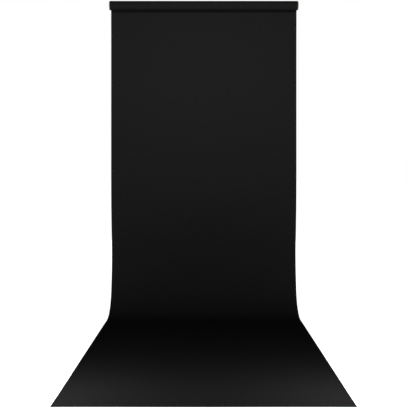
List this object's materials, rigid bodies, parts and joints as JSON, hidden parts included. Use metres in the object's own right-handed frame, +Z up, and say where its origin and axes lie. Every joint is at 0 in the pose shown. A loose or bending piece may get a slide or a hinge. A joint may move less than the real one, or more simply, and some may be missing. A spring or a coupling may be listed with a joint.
{
  "type": "backdrop paper roll",
  "caption": "Roll of black seamless background paper on a paperboard core, hung by the core's bore, its sheet hanging, curving and running out over the floor as a studio backdrop.",
  "frame": {"origin": "on the core's axis, half way along it", "axes": "+X along the core, to the right seen from the front; -Y is the front, where the paper runs out over the floor; +Z up"},
  "size_m": [1.362, 1.8697, 2.266],
  "materials": {
    "backdrop_paper": "matte, dyed through, uncoated",
    "core_board": "grey-brown recycled board, cut edge",
    "core_liner": "smooth kraft liner",
    "tape": "creped masking tape"
  },
  "bodies": {
    "sheet": {"hanging_sheet": "backdrop_paper", "bowed_sheet": "backdrop_paper", "sweep_sheet": "backdrop_paper", "floor_sheet": "backdrop_paper"},
    "roll": {"core_inner_liner": "core_liner", "core_body": "core_board", "core_outer_liner": "core_liner", "starter_tapes": "tape", "wound_paper": "backdrop_paper"},
    "front_edge": {"front_edge_strip": "backdrop_paper"}
  },
  "joints": [
    {"name": "roll_turn", "type": "hinge", "parent": "sheet", "child": "roll", "pos_m": [0, 0, 0], "axis": [-1, 0, 0], "range_deg": [-1290, 2300]},
    {"name": "sheet_feed", "type": "slide", "parent": "sheet", "child": "front_edge", "axis": [0, -1, 0], "range_m": [-0.7451, 1.3284], "deforming": ["floor_sheet"]}
  ],
  "couplings": [
    {"joint": "sheet_feed", "follows": "roll_turn", "m_per_rad": 0.03309}
  ]
}
